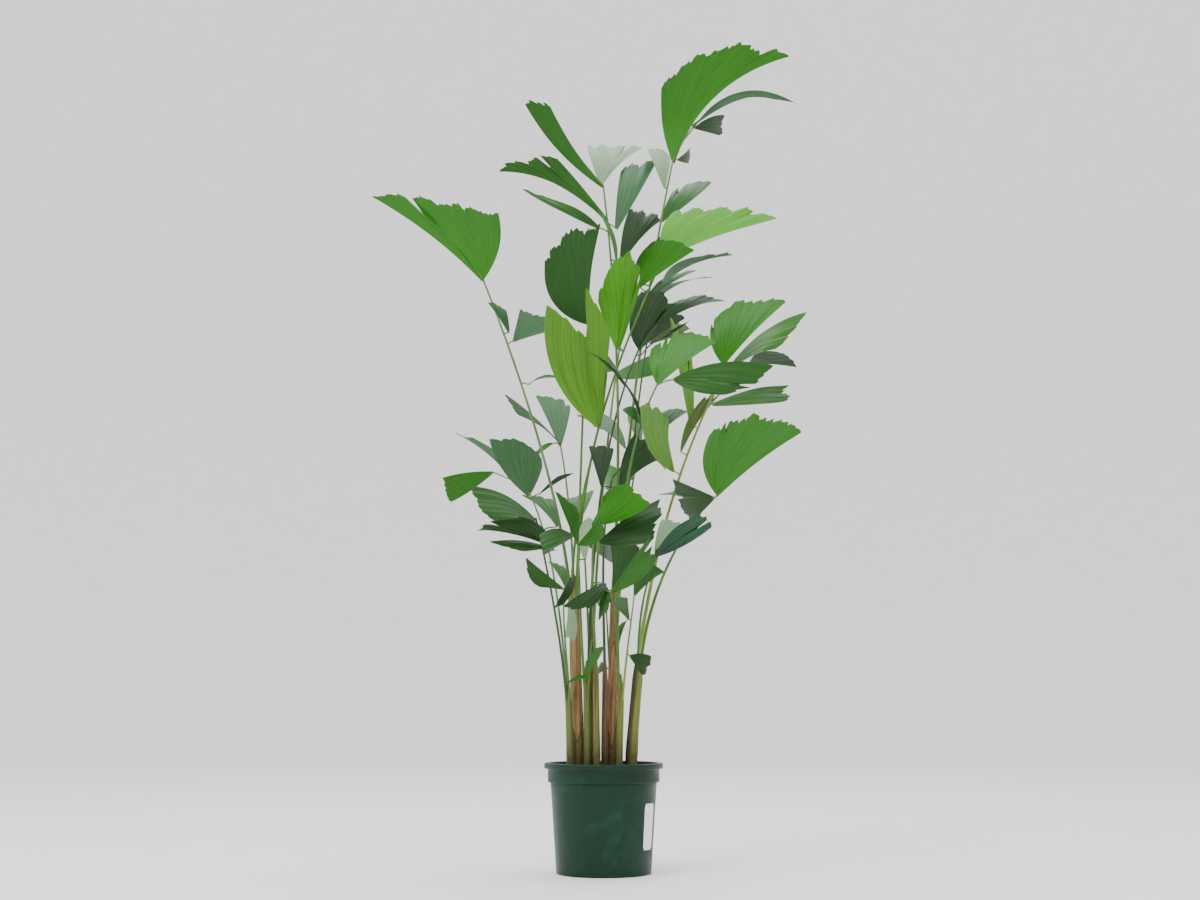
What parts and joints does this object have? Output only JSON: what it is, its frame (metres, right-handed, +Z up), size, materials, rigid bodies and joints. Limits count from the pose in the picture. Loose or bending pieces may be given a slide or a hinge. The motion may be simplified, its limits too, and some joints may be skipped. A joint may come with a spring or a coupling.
{
  "type": "fishtail palm",
  "caption": "Potted fishtail palm: a clump of upright canes in a dark green nursery pot, with fronds of ragged fishtail leaflets on all sides.",
  "frame": {"origin": "centre of the pot's flat underside", "axes": "+Z up along the pot's axis, the plant seen from the front along +Y, +X to the right"},
  "size_m": [1.0182, 0.8008, 1.9434],
  "materials": {
    "pot": "satin",
    "soil": "matte",
    "label": "satin",
    "cane": "matte",
    "leaf": "satin"
  },
  "bodies": {
    "root": {"pot": "pot", "soil": "soil", "label": "label", "cane_left": "cane", "cane_outer": "cane", "cane_green": "cane", "cane_olive": "cane", "cane_middle": "cane", "cane_tan": "cane", "cane_fork": "cane", "cane_right": "cane", "cane_rear": "cane", "cane_rear_left": "cane", "frond_top": "leaf", "frond_high_left": "leaf", "frond_bright": "leaf", "frond_dark_fan": "leaf", "frond_yellow_striped": "leaf", "frond_dark_right": "leaf", "frond_grey_right": "leaf", "frond_right": "leaf", "frond_right_front": "leaf", "frond_far_right": "leaf", "frond_right_low": "leaf", "frond_far_left": "leaf", "frond_mid_left": "leaf", "frond_left": "leaf", "frond_left_front": "leaf", "frond_front_left": "leaf", "frond_low_left": "leaf", "frond_front_right": "leaf", "frond_centre": "leaf", "frond_low_right": "leaf", "frond_rear_low": "leaf", "frond_low_stems": "leaf", "frond_rear_high": "leaf", "frond_rear_mid": "leaf", "frond_rear_left": "leaf"}
  },
  "joints": []
}
